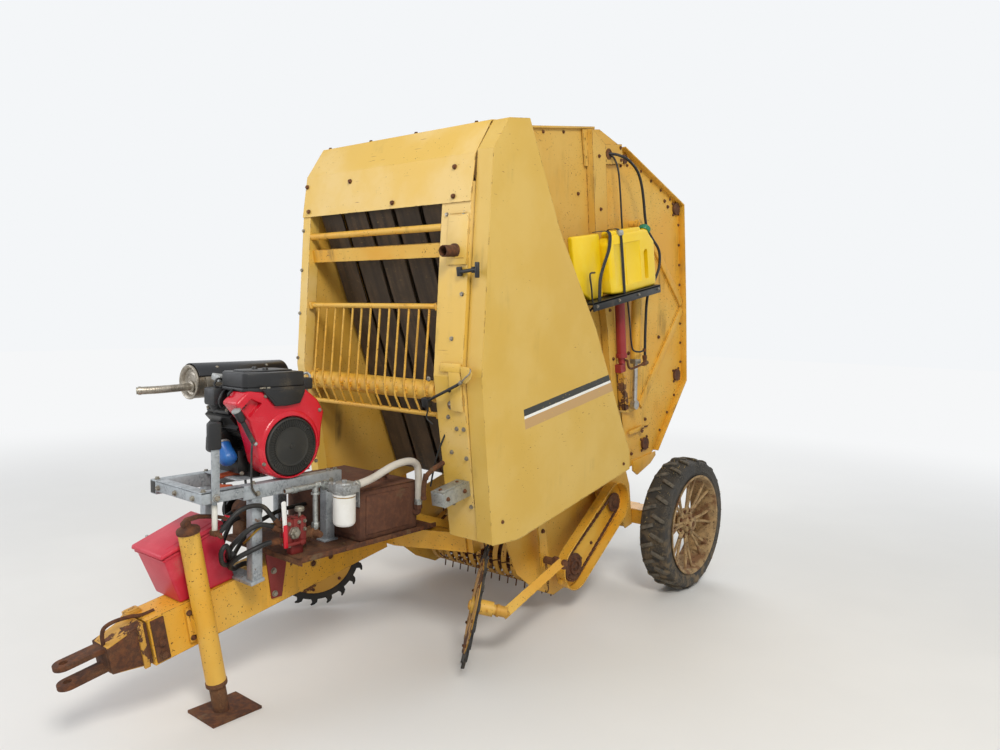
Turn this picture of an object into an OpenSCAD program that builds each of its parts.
// Round baler, drawn tongue type, with its own engine on the tongue.
// The whole body is drawn level and then tipped nose down about its axle, as it is parked.
// Body coordinates: x across (plus is the shield side), y to the rear, z up, zero at the axle centre.
// The engine deck is drawn in ground coordinates, since its owner set it level.

/* [Body] */
// width between the side walls of the bale chamber
chamber_w = 1000; // [900:10:1200]
// how far the parked body tips nose down, degrees
nose_down = 10; // [4:0.5:12]
// height of the roof above the axle centre
roof_z = 2468; // [2440:1:2520]
// thickness of the wall sheets
sheet_t = 5; // [4:1:8]
// gap between the front walls and the tailgate
seam_gap = 9; // [6:1:14]
// width of the left front post
post_w = 177; // [160:1:180]
// depth of the front posts, front to back
post_depth = 62; // [50:1:64]
// reach of the drive shield outside the left post
shield_w = 99; // [90:1:110]

/* [Wheels] */
// outer radius of the tyre, over its lugs
tyre_r = 414; // [400:1:430]
// width of the tyre
tyre_w = 190; // [150:2:200]
// radius of the rim under the tyre
rim_r = 302; // [280:1:310]
// distance between the tyre centres
track_w = 1680; // [1660:5:1800]
// height of a tread lug
lug_h = 15; // [10:1:20]
// number of lugs on each side of the tyre
lug_count = 22; // [12:1:26]
// radius of the wheel spindle
spindle_r = 30; // [24:1:34]
// number of forked spokes
spoke_count = 6; // [4:1:8]

/* [Tongue] */
// full width of the tongue
tongue_w = 160; // [120:2:180]
// underside of the tongue over the axle centre
tongue_z = 398; // [380:1:410]
// height of the tongue
tongue_h = 200; // [180:1:204]
// radius of the hitch pin hole
hitch_bore_r = 16; // [12:0.5:18]
// thickness of each hitch tang
tang_t = 20; // [16:1:24]
// radius of the jack's outer tube
jack_r = 42; // [36:1:44]

/* [Pickup] */
// radius to the tips of the tines
tine_tip_r = 215; // [190:1:220]
// number of tine bars
tine_bars = 4; // [3:1:5]
// number of tines on a bar
tine_count = 14; // [8:1:16]
// radius of the gathering wheels, over their teeth
rake_r = 300; // [260:1:302]
// number of teeth on a gathering wheel
rake_teeth = 20; // [12:1:26]

/* [Belts] */
// number of belts side by side
belt_count = 5; // [3:1:6]
// gap between two belts
belt_gap = 30; // [20:1:60]
// thickness of a belt
belt_t = 8; // [5:1:10]

/* [Engine] */
// radius of the fan screen
screen_r = 127; // [100:1:132]
// radius of the muffler
muffler_r = 75; // [60:1:80]
// radius of the white oil filter can
can_r = 50; // [40:1:56]

/* [Hidden] */
half = chamber_w / 2;
wall_x = half + sheet_t;
post_x = half + post_w;
shield_x = post_x + 3 + shield_w;
seam_x = post_x + 3;
right_x = half + 58;
wheel_x = track_w / 2;
eps = 0.02;
run = 0.05;
tip_c = cos(nose_down);
tip_s = sin(nose_down);

// front profile of the body, from the bottom up, as y and z
front_low = [-1734, 529];
front_knee = [-1723, 1327];
front_brow = [-1540, 2108];
hood_end = -1180;

// box section beside the tailgate, outside the wall
post_box = 50;

// tailgate pivot and outline
pivot = [-102, 2313];
pivot_r = 45;
gate_out = [[-172, 1990], [-82, 345], [-67, 338], [224, 338], [267, 359], [725, 742], [771, 1280],
    [810, 1963], [73, 2353], [-60, 2385], [-118, 2392], [-160, 2368]];
seam_top = [-190, 2360];
seam_low = [-100, 340];

// hitch and rear reach, used to set the origin in the middle of the length
tang_front = -3400;
front_reach = tang_front * tip_c - (tongue_z + tongue_h / 2 + 50) * tip_s;
rear_reach = 725 * tip_c - 742 * tip_s;
shift_y = -(front_reach + rear_reach) / 2;

// pickup pivot, reel centre and gathering wheel placing
lift_pin = [-402, 230];
reel_pin = [-867, 11];
pan_r = 130;
reel_half = half - 30;
rake_toe = 41;
rake_lean = 12;
rake_pos = [630, -1759, 298];

// jack
jack_pos = [tongue_w / 2 + 10 + jack_r, -2852];
leg_r = jack_r - 8;

// engine place, in ground coordinates
fan_pos = [220, -2527, 1122];
deck_top = 978;
deck_x = 160;
shelf_z = 640;
shelf_t = 12;
tank_box = [[-220, -2240, shelf_z + shelf_t], [340, -1868, 895]];
shroud_r = screen_r + 15;
screw_on = [[60, -2672, 1098], [0, -30, 2]];

// tongue top, lowered at its rear end to pass under the level shelf
tongue_top = tongue_z + tongue_h;
tongue_end = -1790;
shelf_meet = (shelf_z - 0.4 - tyre_r - tongue_top * tip_c) / tip_s;
shelf_end = (shelf_z - 0.4 - tyre_r - tongue_end * tip_s) / tip_c;
beam_top = 520;

// placing helpers

module body() {
    translate([0, shift_y, tyre_r]) rotate([nose_down, 0, 0]) children();
}

module deck() {
    translate([0, shift_y, 0]) children();
}

module both() {
    children();
    mirror([1, 0, 0]) children();
}

module slab(x0, x1, y0, y1, z0, z1) {
    translate([x0, y0, z0]) cube([x1 - x0, y1 - y0, z1 - z0]);
}

module side_cut(x0, x1, pts) {
    translate([x0, 0, 0]) rotate([90, 0, 90]) linear_extrude(x1 - x0) polygon(pts);
}

module xrod(x0, x1, r, at, fn = 32) {
    translate([x0, at[0], at[1]]) rotate([0, 90, 0]) cylinder(r = r, h = x1 - x0, $fn = fn);
}

module zrod(x, y, z0, z1, r, fn = 32) {
    translate([x, y, z0]) cylinder(r = r, h = z1 - z0, $fn = fn);
}

module yrod(x, y0, y1, z, r, fn = 32) {
    translate([x, y0, z]) rotate([-90, 0, 0]) cylinder(r = r, h = y1 - y0, $fn = fn);
}

module span(p, q, r, fn = 8) {
    d = q - p;
    len = norm(d);
    translate(p) rotate([0, acos(d[2] / len), atan2(d[1], d[0])]) cylinder(r = r, h = len, $fn = fn);
}

module route(pts, r, fn = 8) {
    for (i = [0 : len(pts) - 2]) span(pts[i], pts[i + 1], r, fn);
    for (i = [1 : len(pts) - 2]) translate(pts[i]) sphere(r = r, $fn = fn);
}

// a bent sheet that follows a line of points and has its thickness inwards, to plus y
module bent_sheet(x0, x1, pts, t) {
    n = len(pts) - 1;
    side_cut(x0, x1, concat(pts, [for (i = [n : -1 : 0]) pts[i] + [t, (i == n) ? -t / 3 : 0]]));
}

function arc_pts(c, r, a0, a1, n) =
    [for (i = [0 : n]) c + r * [cos(a0 + (a1 - a0) * i / n), sin(a0 + (a1 - a0) * i / n)]];

// running gear

module tyre_solid() {
    crown = tyre_r - lug_h;
    w = tyre_w / 2;
    lug_len = w * 0.9;
    rotate([0, 90, 0]) union() {
        rotate_extrude($fn = 64) polygon([[rim_r, -w + 18], [rim_r + 14, -w + 10], [rim_r + 38, -w + 3],
            [crown - 36, -w], [crown - 8, -w + 10], [crown, -w + 26], [crown, w - 26], [crown - 8, w - 10],
            [crown - 36, w], [rim_r + 38, w - 3], [rim_r + 14, w - 10], [rim_r, w - 18]]);
        for (side = [-1, 1]) for (i = [0 : lug_count - 1])
            rotate([0, 0, (i + (side > 0 ? 0.5 : 0)) * 360 / lug_count]) rotate([side * 22, 0, 0])
                translate([crown - 20, -11, side > 0 ? -4 : 4 - lug_len])
                    cube([lug_h + 17, 22, lug_len]);
    }
}

module rim_solid() {
    w = tyre_w / 2;
    rotate([0, 90, 0]) {
        rotate_extrude($fn = 64) polygon([[rim_r + 10, -w + 2], [rim_r + 10, -w + 8], [rim_r, -w + 14],
            [rim_r, w - 14], [rim_r + 10, w - 8], [rim_r + 10, w - 2], [rim_r - 2, w - 2],
            [rim_r - 10, w - 14], [rim_r - 10, -w + 14], [rim_r - 2, -w + 2]]);
        difference() {
            union() {
                translate([0, 0, -70]) cylinder(r = 58, h = 150, $fn = 48);
                translate([0, 0, 10]) cylinder(r = 92, h = 14, $fn = 48);
            }
            translate([0, 0, -80]) cylinder(r = spindle_r + run, h = 142, $fn = 48);
        }
        for (i = [0 : spoke_count - 1]) rotate([0, 0, i * 360 / spoke_count]) for (s = [-1, 1])
            rotate([0, 0, s * 6]) translate([50, s * 4 - 5, 2]) rotate([0, 0, s * 5])
                cube([rim_r - 56, 10, 34]);
    }
}

module rim_left() color([0.60, 0.50, 0.38]) translate([wheel_x, shift_y, tyre_r]) rim_solid();
module rim_right() color([0.60, 0.50, 0.38]) translate([-wheel_x, shift_y, tyre_r]) mirror([1, 0, 0]) rim_solid();
module tyre_left() color([0.10, 0.10, 0.10]) translate([wheel_x, shift_y, tyre_r]) tyre_solid();
module tyre_right() color([0.10, 0.10, 0.10]) translate([-wheel_x, shift_y, tyre_r]) mirror([1, 0, 0]) tyre_solid();

// tongue, hitch and jack

module tongue() color([0.86, 0.66, 0.20]) body() difference() {
    side_cut(-tongue_w / 2, tongue_w / 2, [[-3060, tongue_z], [tongue_end, tongue_z],
        [tongue_end, shelf_end], [shelf_meet, tongue_top], [-3060, tongue_top]]);
    side_cut(8 - tongue_w / 2, tongue_w / 2 - 8, [[-3052, tongue_z + 8], [tongue_end - 8, tongue_z + 8],
        [tongue_end - 8, shelf_end - 10], [shelf_meet - 8, tongue_top - 9], [-3052, tongue_top - 9]]);
}

module hitch_clevis() color([0.45, 0.31, 0.22]) body() difference() {
    mid = tongue_z + tongue_h / 2;
    union() {
        side_cut(-tongue_w / 2 + 10, tongue_w / 2 - 10, [[-3225, mid - 55], [-3060, mid - 90], [-3060, mid + 90],
            [-3225, mid + 55]]);
        for (side = [0, 1]) mirror([side, 0, 0])
            slab(tongue_w / 2, tongue_w / 2 + 8, -3100, -3000, mid - 92, mid + 92);
        for (side = [0, 1]) mirror([side, 0, 0])
            slab(tongue_w / 2 - 11, tongue_w / 2 + 4, -3100, -3060, mid - 88, mid + 88);
        for (z = [mid - 30 - tang_t, mid + 30]) {
            slab(-40, 40, tang_front + 40, -3160, z, z + tang_t);
            zrod(0, tang_front + 40, z, z + tang_t, 40);
        }
    }
    zrod(0, tang_front + 40, mid - 80, mid + 80, hitch_bore_r, 48);
}

module jack_tube() color([0.90, 0.70, 0.20]) body() {
    x = jack_pos[0];
    y = jack_pos[1];
    difference() {
        zrod(x, y, 232, 905, jack_r, 48);
        zrod(x, y, 220, 880, leg_r + run, 48);
    }
    zrod(x, y, 905, 925, jack_r + 6, 48);
    slab(tongue_w / 2, x - jack_r + 3, y - 60, y + 60, tongue_z + 20, tongue_z + tongue_h - 20);
    zrod(x, y, 925, 950, 12, 24);
    span([x, y, 945], [x, y - 150, 962], 9, 12);
    zrod(x, y - 146, 955, 1040, 11, 24);
}

module jack_leg() color([0.42, 0.28, 0.20]) {
    x = jack_pos[0];
    y = jack_pos[1];
    foot = -tyre_r / tip_c - y * tip_s / tip_c;
    body() zrod(x, y, foot + 12, 520, leg_r, 48);
    deck() {
        fy = y * tip_c - foot * tip_s;
        difference() {
            slab(x - 100, x + 100, fy - 100, fy + 130, 0, 12);
        }
    }
}

module tool_tub() color([0.72, 0.10, 0.16]) body() {
    z0 = tongue_z + tongue_h;
    hull() {
        slab(-140, 70, -2925, -2675, z0, z0 + 2);
        slab(-165, 80, -2955, -2690, z0 + 215, z0 + 217);
    }
    hull() {
        slab(-172, 87, -2965, -2682, z0 + 217, z0 + 232);
        slab(-160, 76, -2930, -2690, z0 + 278, z0 + 290);
    }
}

// frame under the chamber, with the axle

module chassis_frame() color([0.78, 0.58, 0.20]) body() {
    z0 = tongue_z + 20;
    both() {
        hull() {
            slab(5, tongue_w / 2 + 60, tongue_end, tongue_end + 8, z0, beam_top);
            slab(half - 60, half + 40, -1676, -1668, z0, beam_top);
        }
        slab(half - 80, half, -130, -66, -50, 200);
        slab(half - 80, half, -66, 60, -50, 50);
        // hanger for the pickup shaft
        difference() {
            side_cut(wall_x, wall_x + 12, [[-500, 540], [-300, 540], [-345, 190], [-402, 170], [-455, 200]]);
            xrod(wall_x - 5, wall_x + 20, 25 + run, lift_pin, 48);
        }
        xrod(wheel_x - 180, wheel_x + 61, spindle_r, [0, 0], 48);
    }
    slab(-half - 50, half + 80, -1668, -1590, z0, beam_top);
    slab(170 - wheel_x, wheel_x - 170, -50, 50, -50, 50);
}

// arms that carry the gathering wheels, in front of the pickup
module rake_arms() color([0.88, 0.66, 0.18]) for (side = [-1, 1]) {
    body() {
        mirror([side > 0 ? 0 : 1, 0, 0]) {
            slab(wall_x, 552, -1110, -1030, 480, 492);
            slab(540, 552, -1110, -1040, 95, 480);
            slab(wall_x, wall_x + 8, -1110, -1030, 492, 540);
            xrod(552, 672, 20, [-1075, 130], 32);
        }
    }
    deck() {
        span([side * 655, -1082, 355], [side * 742, -1664, 262], 34, 4);
        rake_frame(side) {
            xrod(-30, 160, 25, [0, 0], 48);
            xrod(8, 90, 36, [0, 0], 48);
            xrod(-22, -8, 40, [0, 0], 48);
        }
    }
}

// walls and fronts

module wall_outline() {
    polygon([[-1702, beam_top], [-1690, 1327], [-1520, 2080], [-1440, 2300], [-1336, roof_z - 3],
        [-200, roof_z - 3], [seam_top[0], seam_top[1]], [seam_low[0], seam_low[1]], [-64, 220],
        [-64, -50], [-150, -50], [-330, 330], [-470, 480], [-1590, 480], [-1590, beam_top]]);
}

module wall_panel() {
    difference() {
        translate([half, 0, 0]) rotate([90, 0, 90]) linear_extrude(sheet_t) wall_outline();
        for (p = concat(front_rolls, roof_rolls)) xrod(half - 5, half + 15, 20 + run, p, 24);
    }
}

module side_walls() color([0.85, 0.68, 0.33]) body() {
    both() {
        wall_panel();
        // box section beside the gate seam, on a narrower root so that the gate's corner passes it
        side_cut(wall_x + 6, wall_x + post_box, [[-303, 2456], [-172, 2366], [-202, 1893], [-203, 1290],
            [-203, 760], [-282, 760], [-282, 1305], [-339, 1883]]);
        side_cut(wall_x - 1, wall_x + 7, [[-300, 2450], [-215, 2366], [-215, 770], [-280, 770], [-280, 1305],
            [-335, 1883]]);
        // plate that carries the lower pin of the lift cylinder, outside the tailgate
        side_cut(wall_x + 7, wall_x + 17, [[-240, 820], [-203, 820], [60, 780], [60, 715], [-30, 700],
            [-240, 760]]);
        // hinge ear with its four-bolt plate
        difference() {
            side_cut(wall_x + 6, wall_x + 16, [[-345, 2250], [30, 2250], [62, 2353], [-172, roof_z - 14],
                [-345, roof_z - 14]]);
            xrod(wall_x, wall_x + 30, 22, pivot);
        }
        difference() {
            slab(wall_x + 15, wall_x + 25, -171, 55, 2254, 2368);
            xrod(wall_x, wall_x + 30, 22, pivot);
        }
        xrod(wall_x + 16, cyl_x - 22, 15, cyl_low, 32);
    }
    difference() {
        xrod(-wall_x - 7, wall_x + 7, pivot_r, pivot, 48);
        xrod(-wall_x - 8, wall_x + 8, 22, pivot, 32);
    }
    // arms that carry the hinge pins of the drive shield
    for (t = hinge_at) {
        q = hinge_pt(t + 30 / hinge_len);
        r = hinge_pt(t - 30 / hinge_len);
        c = hinge_pt(t - 41 / hinge_len);
        e = hinge_pt(t - 52 / hinge_len);
        span([hinge_x, q[0], q[1]], [hinge_x, c[0], c[1]], 8, 24);
        span([hinge_x, r[0], r[1]], [hinge_x, e[0], e[1]], 12, 24);
        slab(wall_x, hinge_x + 2, c[0] - 14, c[0] - 6, c[1] - 25, c[1] + 6);
    }
}

module front_posts() color([0.86, 0.72, 0.38]) body() {
    front = [front_low, front_knee, front_brow, front_brow + [30, 90]];
    ends = [[0, -20], [0, 0], [0, 0], [7, 21]];
    for (p = [[half - 5, post_x], [-right_x, 5 - half]]) difference() {
        side_cut(p[0], p[1], concat(front, [for (i = [3 : -1 : 0]) front[i] + [post_depth, 0]]));
        side_cut(p[0] + 5, p[1] - 5, concat([for (i = [0 : 3]) front[i] + ends[i] + [6, 0]],
            [for (i = [3 : -1 : 0]) front[i] + ends[i] + [post_depth + 20, 0]]));
    }
}

module front_hood() color([0.90, 0.76, 0.42]) body() {
    side_cut(-right_x, post_x, [[-1546, 2112], [-1478, 2324], [-1340, roof_z + 2], [hood_end, roof_z + 2],
        [hood_end, roof_z - 3], [-1342, roof_z - 3], [-1474, 2320], [-1541, 2112]]);
}

// grille of hooped rods with the bars above and behind it
module guard_grille() color([0.86, 0.70, 0.32]) body() {
    xrod(-half + 5, half - 5, 17, [-1548, 2004]);
    slab(-half + 5, half - 5, -1560, -1554, 1865, 1932);
    slab(-half + 5, half - 5, -1560, -1515, 1926, 1932);
    xrod(-half + 5, half - 5, 48, [-1665, 1235], 48);
    xrod(-half + 5, half - 5, 13, [-1622, 1640], 24);
    xrod(-half + 5, half - 5, 12, [-1695, 1125], 24);
    for (i = [-6 : 6]) {
        x = i * 70;
        route([[x, -1622, 1640], [x, -1722, 1262], [x, -1722, 1205], [x, -1695, 1125]], 5.5, 8);
    }
}

module belt_loop(w, c) {
    n = belt_count;
    bw = (w - (n - 1) * belt_gap) / n;
    difference() {
        translate([-w / 2, 0, 0]) rotate([90, 0, 90]) linear_extrude(w) difference() {
            hull() for (p = c) translate([p[0], p[1]]) circle(r = p[2] + 0.5 + belt_t, $fn = 40);
            hull() for (p = c) translate([p[0], p[1]]) circle(r = p[2] + 0.5, $fn = 40);
        }
        for (i = [1 : n - 1])
            translate([-w / 2 + i * bw + (i - 1) * belt_gap, -2000, -100]) cube([belt_gap, 3200, 2700]);
    }
}

// rollers as y, z, radius, radius of the drive sprocket or of the bearing cap, reach of the shaft
front_rolls = [[-1420, 2200, 74, 60, 75], [-1100, 620, 60, 105, 75]];
roof_rolls = [[-1120, 2425, 45, 0, 3], [-240, 2412, 45, 0, 3]];
gate_rolls = [[103, 2281, 50, 28], [748, 1939, 50, 42], [640, 800, 50, 42], [150, 440, 50, 42]];

module rollers_front() color([0.50, 0.40, 0.30]) body() {
    for (p = front_rolls) {
        xrod(-half + 15, half - 15, p[2], p, 48);
        xrod(-half - 30, half + p[4], 20, p, 24);
        xrod(wall_x, wall_x + 14, 48, p, 32);
        xrod(-wall_x - 14, -wall_x, 48, p, 32);
        xrod(wall_x + 30, wall_x + 45, p[3], p, 48);
    }
    for (p = roof_rolls) {
        xrod(-half + 15, half - 15, p[2], p, 48);
        xrod(-half - p[4], half + p[4], 20, p, 24);
    }
    xrod(-half + 10, half - 10, 75, [-700, 600], 48);
    xrod(-half, half, 20, [-700, 600], 24);
}

module belts_front() color([0.33, 0.28, 0.23]) body() {
    belt_loop(chamber_w - 55, front_rolls);
    belt_loop(chamber_w - 55, roof_rolls);
}

module belts_gate() color([0.33, 0.28, 0.23]) body() belt_loop(chamber_w - 55, gate_rolls);

// drive shield, a door hinged on its raked rear edge

shield_out = [[-1335, 2466], [-1467, 2335], [-1702, 1329], [-1746, 536], [-1553, 491], [-498, 512],
    [-487, 613], [-744, 1375], [-1010, 1930], [-1182, 2465]];
hinge_low = [-530, 613];
hinge_top = [-1225, 2465];
hinge_len = norm(hinge_top - hinge_low);
hinge_x = shield_x - sheet_t - 14;
hinge_at = [0.12, 0.84];

function hinge_pt(t) = hinge_low + (hinge_top - hinge_low) * t;

module shield_left() color([0.86, 0.72, 0.38]) body() {
    difference() {
        union() {
            side_cut(shield_x - sheet_t, shield_x, shield_out);
            for (t = hinge_at) {
                q = hinge_pt(t + 26 / hinge_len);
                r = hinge_pt(t - 26 / hinge_len);
                span([hinge_x, q[0], q[1]], [hinge_x, r[0], r[1]], 15, 32);
            }
        }
        for (t = hinge_at) {
            q = hinge_pt(t + 40 / hinge_len);
            r = hinge_pt(t - 40 / hinge_len);
            span([hinge_x, q[0], q[1]], [hinge_x, r[0], r[1]], 8 + run, 24);
        }
    }
    bent_sheet(seam_x + 3, shield_x - sheet_t + 1, [[-1746, 536], [-1702, 1329], [-1467, 2335],
        [-1335, 2466]], 5);
    side_cut(seam_x + 3, shield_x - sheet_t + 1, [[-1335, 2466], [-1182, 2465], [-1180, 2460],
        [-1330, 2461]]);
}

module channel_bracket() color([0.66, 0.66, 0.62]) body() {
    slab(post_x - 22, post_x - 17, -1910, -1731, 758, 828);
    slab(post_x - 97, post_x - 22, -1910, -1731, 823, 828);
    slab(post_x - 97, post_x - 92, -1910, -1731, 758, 823);
}

// engine, level with the ground

module engine_block() color([0.13, 0.13, 0.13]) deck() {
    y = fan_pos[1];
    z = fan_pos[2];
    slab(-190, 100, y - 120, y + 110, deck_top + 6, z + 130);
    for (s = [-1, 1]) translate([0, y, z]) rotate([s * 42, 0, 0]) {
        slab(-130, 70, -70, 70, 60, 235);
        for (i = [0 : 5]) slab(-150, 90, -88, 88, 70 + i * 22, 76 + i * 22);
    }
    slab(-50, 50, y - 50, y + 50, z + 100, z + 240);
    xrod(-260, -190, 34, [y, z]);
    span(screw_on[0] - screw_on[1] * 1.4, screw_on[0], 24, 24);
}

module engine_shroud() color([0.72, 0.06, 0.10]) deck() {
    x1 = fan_pos[0];
    y = fan_pos[1];
    z = fan_pos[2];
    difference() {
        side_cut(x1 - 120, x1, concat(arc_pts([y, z], shroud_r, 200, 350, 20),
            [[y + 190, z + 130], [y + 165, z + 200], [y + 60, z + 240], [y - 220, z + 240],
            [y - 262, z + 190]]));
        xrod(x1 - 20, x1 + 10, screen_r + 4, [y, z], 48);
    }
}

module fan_screen() color([0.10, 0.10, 0.10]) deck()
    xrod(fan_pos[0] - 20, fan_pos[0] + 4, screen_r, [fan_pos[1], fan_pos[2]], 48);

module air_cleaner() color([0.12, 0.12, 0.13]) deck() {
    y = fan_pos[1];
    z = fan_pos[2];
    side_cut(-150, 232, [[y - 215, z + 240], [y + 150, z + 240], [y + 135, z + 310], [y - 40, z + 326],
        [y - 200, z + 318]]);
}

module muffler() color([0.62, 0.60, 0.56]) deck() {
    y0 = -2745;
    y1 = -2315;
    z = 1385;
    x = -245;
    yrod(x, y0, y1, z, muffler_r, 48);
    slab(-202, -190, -2580, -2470, 1172, 1350);
    yrod(x, y0 - 100, y0 + 5, z - 25, 18, 24);
    translate([x, y0 - 96, z - 25]) sphere(r = 18, $fn = 24);
    span([x, y0 - 96, z - 25], [x - 40, y0 - 215, z - 28], 18, 24);
}

module engine_oil_filter() color([0.10, 0.30, 0.60]) deck()
    span(screw_on[0], screw_on[0] + screw_on[1] * 2.6, 40, 32);

module engine_frame() color([0.66, 0.68, 0.70]) {
    deck() {
        for (x = [-deck_x - 50, deck_x]) {
            slab(x, x + 50, -2950, -2240, deck_top - 62, deck_top);
            slab(x + 2, x + 48, -2719, -2669, 558, deck_top - 61);
            slab(x + 2, x + 48, -2330, -2280, shelf_z + shelf_t, deck_top - 61);
        }
        slab(-deck_x - 49, deck_x + 49, -2949, -2900, deck_top - 60, deck_top - 2);
        slab(-deck_x - 10, 100, -2720, -2340, deck_top, deck_top + 6);
        // clutch lever on its stub
        slab(214, 222, -2912, -2876, deck_top - 40, 1250);
        xrod(deck_x + 49, 215, 14, [-2894, deck_top - 25], 24);
    }
    body() slab(-deck_x - 52, deck_x + 52, -2664, -2596, tongue_top, tongue_top + 16);
}

module hydraulic_tank() color([0.36, 0.22, 0.17]) deck() {
    a = tank_box[0];
    b = tank_box[1];
    slab(a[0], b[0], a[1], b[1], a[2], b[2]);
    zrod(b[0] - 130, b[1] - 130, b[2], b[2] + 40, 34, 32);
    xrod(b[0], b[0] + 24, 17, [b[1] - 22, 740], 24);
    zrod(b[0] + 24, b[1] - 22, 723, 800, 16, 24);
}

module return_filter() color([0.86, 0.86, 0.84]) deck() {
    zrod(392, -2375, 772, 915, can_r, 48);
    slab(352, 432, -2415, -2335, 914, 968);
    slab(300, 354, -2400, tank_box[0][1], 915, 927);
    slab(300, 340, tank_box[0][1] - 6, tank_box[0][1], 820, 916);
}

module valve_block() color([0.50, 0.16, 0.12]) deck() {
    slab(180, 290, -2560, -2440, shelf_z + shelf_t, 790);
    xrod(290, 325, 28, [-2520, 730], 32);
}

module suction_hose() color([0.85, 0.82, 0.78]) deck()
    route([[392, -2334, 942], [385, -2213, 945], [378, -2090, 985], [372, -1985, 1000], [368, -1915, 985],
        [364, -1890, 930], [364, -1890, 800]], 15, 12);

module hoses() color([0.07, 0.07, 0.07]) body() {
    x = wall_x + 118;
    xrod(wall_x + 17, wall_x + 29, 21, pivot, 32);
    route([[wall_x + 27, pivot[0], pivot[1]], [x - 50, -60, 2300], [x, 60, 2220], [x, 110, 2080], [x, 125, 1893],
        [x, 220, 1770], [x, 290, 1678], [x, 262, 1570], [x, 120, 1470], [x, 76, 1400], [x, 50, 1250],
        [x, 21, 1030]], 8, 10);
    route([[wall_x + 27, pivot[0] + 6, pivot[1] - 8], [x - 65, -80, 2266], [x - 36, -92, 2180], [x - 33, -100, 1900],
        [x - 33, -105, 1550], [x - 14, -112, 1400], [x - 11, -112, 1150], [x - 6, -90, 1112], [x, 21, 1105]], 5, 10);
    // tee at the foot of the hoses, and its pipe to the ram
    yrod(x, -5, 47, 1021, 14, 24);
    zrod(x, 21, 1010, 1120, 11, 24);
    route([[x, 0, 1021], [x, -150, 1021], [x, -187, 1050], [x, -187, 1084]], 7, 10);
    xrod(ram_x + 22 + run, x + 8, 9, [-187, 1084], 24);
}

module tank_shelf() color([0.42, 0.28, 0.22]) deck()
    slab(-225, 362, -2580, -1762, shelf_z, shelf_z + shelf_t);

module side_jug() color([0.90, 0.76, 0.12]) body() {
    side_cut(625, 665, [[-750, 1560], [-430, 1512], [-430, 1880], [-750, 1880]]);
    side_cut(620, 715, [[-450, 1512], [55, 1512], [60, 1800], [20, 1860], [-430, 1860], [-450, 1835]]);
    zrod(667, 10, 1855, 1890, 24, 32);
}

module jug_bracket() color([0.08, 0.08, 0.09]) body() {
    slab(615, 735, -690, 68, 1500, 1512);
    slab(wall_x, 616, -640, -610, 1500, 1512);
    slab(wall_x, 616, -425, -395, 1500, 1512);
}

// belt tension rams, fixed beside the box sections
ram_x = wall_x + 78;
ram_low = [-187, 1100];
ram_top = [-152, 1760];
ram_r = 30;

module tension_rams() color([0.62, 0.06, 0.10]) body() both() {
    span([ram_x, ram_low[0], ram_low[1]], [ram_x, ram_top[0], ram_top[1]], ram_r, 40);
    zrod(ram_x, ram_low[0], ram_low[1] - 36, ram_low[1] + 4, 22, 32);
    slab(wall_x + post_box, ram_x + 14, ram_low[0] - 40, ram_low[0] - 12, ram_low[1] - 90, ram_low[1] - 40);
    slab(ram_x - 14, ram_x + 14, ram_low[0] - 13, ram_low[0] + 16, ram_low[1] - 90, ram_low[1] - 35);
}

// tailgate lift cylinders, one each side, hung from the tailgate with the rod downwards
cyl_top = [142, 1880];
cyl_low = [-36, 759];
cyl_x = wall_x + 57;
barrel_r = 33;
barrel_end = 870;
rod_r = 16;
eye_r = 30;
pin_r = 15;

function cyl_at(s) = cyl_top + (cyl_low - cyl_top) * s / norm(cyl_low - cyl_top);

module barrel_shape() {
    p = cyl_at(26);
    q = cyl_at(barrel_end);
    m = cyl_at(80);
    n = cyl_at(barrel_end + 20);
    difference() {
        union() {
            span([cyl_x, p[0], p[1]], [cyl_x, q[0], q[1]], barrel_r, 40);
            xrod(cyl_x - 14, cyl_x + 14, eye_r, cyl_top, 32);
        }
        span([cyl_x, m[0], m[1]], [cyl_x, n[0], n[1]], rod_r + run, 32);
        xrod(cyl_x - 40, cyl_x + 40, pin_r + run, cyl_top, 32);
    }
}

module rod_shape() {
    m = cyl_at(100);
    n = cyl_at(norm(cyl_low - cyl_top) - 24);
    span([cyl_x, m[0], m[1]], [cyl_x, n[0], n[1]], rod_r, 32);
    xrod(cyl_x - 16, cyl_x + 16, eye_r, cyl_low, 32);
}

module barrel_left() color([0.84, 0.66, 0.24]) body() barrel_shape();
module barrel_right() color([0.84, 0.66, 0.24]) body() mirror([1, 0, 0]) barrel_shape();
module rod_left() color([0.55, 0.55, 0.55]) body() rod_shape();
module rod_right() color([0.55, 0.55, 0.55]) body() mirror([1, 0, 0]) rod_shape();

// tailgate

module gate_sides() color([0.87, 0.68, 0.26]) body() both() {
    difference() {
        side_cut(half, wall_x, gate_out);
        xrod(half - 5, wall_x + 5, pivot_r + run, pivot, 48);
        for (p = gate_rolls) xrod(half - 5, wall_x + 5, 20 + run, p, 24);
    }
    xrod(wall_x - 1, cyl_x - 18, 24, cyl_top, 32);
    xrod(wall_x - 1, cyl_x + 22, pin_r, cyl_top, 32);
}

module gate_rollers() color([0.55, 0.42, 0.28]) body() {
    for (p = gate_rolls) {
        xrod(-half + 10, half - 10, p[2], p, 48);
        xrod(-wall_x - 10, wall_x + 10, 20, p, 24);
        xrod(wall_x, wall_x + 15, p[3], p, 32);
        xrod(-wall_x - 15, -wall_x, p[3], p, 32);
    }
}

// pickup

module pan_outline(r) {
    hull() {
        translate(lift_pin) circle(r = r, $fn = 48);
        translate(reel_pin) circle(r = r, $fn = 48);
    }
}

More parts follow.
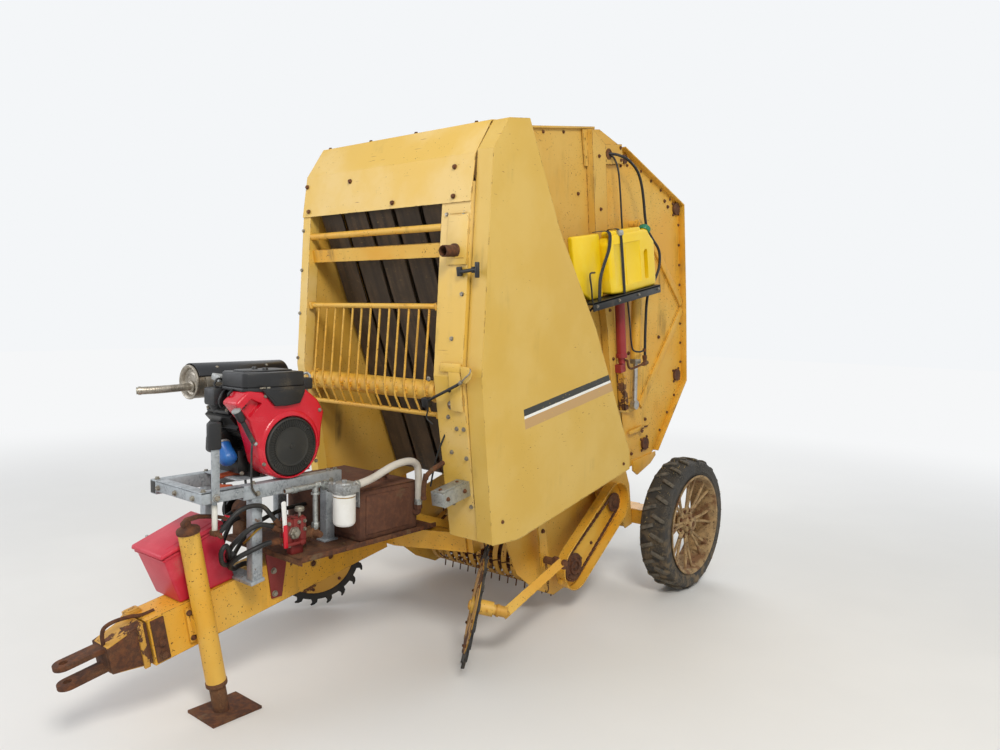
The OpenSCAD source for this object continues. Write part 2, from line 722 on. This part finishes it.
module pickup_frame() color([0.84, 0.64, 0.18]) body() {
    both() {
        translate([half - 24, 0, 0]) rotate([90, 0, 90]) linear_extrude(6) difference() {
            polygon([[-1320, 330], [-1250, 100], [-1100, -60], [-940, -165], [-640, -165], [-560, -20],
                [-340, 160], [-340, 300], [-600, 400]]);
            translate(reel_pin) circle(r = 30 + run, $fn = 48);
        }
        difference() {
            translate([560, 0, 0]) rotate([90, 0, 90]) linear_extrude(62) pan_outline(pan_r);
            translate([566, 0, 0]) rotate([90, 0, 90]) linear_extrude(62) pan_outline(pan_r - 5);
            xrod(555, 570, 34, reel_pin, 48);
        }
    }
    xrod(-575, 575, 25, lift_pin, 48);
    xrod(-half + 20, half - 20, 30, [-620, 110], 32);
}

module pickup_reel() color([0.50, 0.34, 0.22]) body() {
    xrod(-600, 600, 30, reel_pin, 48);
    for (i = [0 : tine_bars - 1]) translate([0, reel_pin[0], reel_pin[1]]) rotate([i * 360 / tine_bars, 0, 0]) {
        xrod(-reel_half + 5, reel_half - 5, 14, [115, 0], 24);
        for (k = [0 : tine_count - 1]) {
            x = -reel_half + 40 + k * (2 * reel_half - 80) / (tine_count - 1);
            span([x, 120, 0], [x, tine_tip_r, -30], 4, 6);
        }
        for (x = [-reel_half + 5, -3, reel_half - 11]) slab(x, x + 6, -5, 120, -16, 16);
    }
}

module stripper_bands() color([0.72, 0.50, 0.18]) body() {
    y = reel_pin[0];
    z = reel_pin[1];
    band = concat([[y + 210, z + 155], [y + 210, z + 160]], arc_pts(reel_pin, 160, 90, 270, 20),
        [[y + 190, z - 160], [y + 190, z - 155]], arc_pts(reel_pin, 155, 270, 90, 20));
    for (k = [0 : tine_count - 2]) {
        x = -reel_half + 40 + (k + 0.5) * (2 * reel_half - 80) / (tine_count - 1);
        side_cut(x - 18, x + 18, band);
    }
    slab(24 - half, half - 24, y + 200, y + 230, z + 135, z + 155.5);
    slab(24 - half, half - 24, y + 182, y + 206, z - 155.5, z - 138);
}

// gathering wheels

module rake_frame(side) {
    translate([side * rake_pos[0], rake_pos[1], rake_pos[2]]) rotate([0, 0, side > 0 ? rake_toe : 180 - rake_toe])
        rotate([0, rake_lean, 0]) children();
}

module rake_wheel() {
    rotate([0, 90, 0]) {
        translate([0, 0, -6]) linear_extrude(12) difference() {
            circle(r = rake_r - 30, $fn = 60);
            circle(r = 25 + run, $fn = 36);
        }
        for (i = [0 : rake_teeth - 1]) rotate([0, 0, i * 360 / rake_teeth])
            translate([rake_r - 55, -16, -6]) cube([54, 26, 12]);
    }
}

module rake_wheel_left() color([0.09, 0.09, 0.09]) deck() rake_frame(1) rake_wheel();
module rake_wheel_right() color([0.09, 0.09, 0.09]) deck() rake_frame(-1) rake_wheel();

tongue();
hitch_clevis();
jack_tube();
jack_leg();
tool_tub();
chassis_frame();
rake_arms();
rim_left();
tyre_left();
rim_right();
tyre_right();
side_walls();
front_posts();
front_hood();
guard_grille();
rollers_front();
belts_front();
shield_left();
channel_bracket();
engine_block();
engine_shroud();
fan_screen();
air_cleaner();
muffler();
engine_oil_filter();
engine_frame();
hydraulic_tank();
return_filter();
valve_block();
suction_hose();
hoses();
tank_shelf();
side_jug();
jug_bracket();
tension_rams();
barrel_left();
rod_left();
barrel_right();
rod_right();
gate_sides();
gate_rollers();
belts_gate();
pickup_frame();
pickup_reel();
stripper_bands();
rake_wheel_left();
rake_wheel_right();
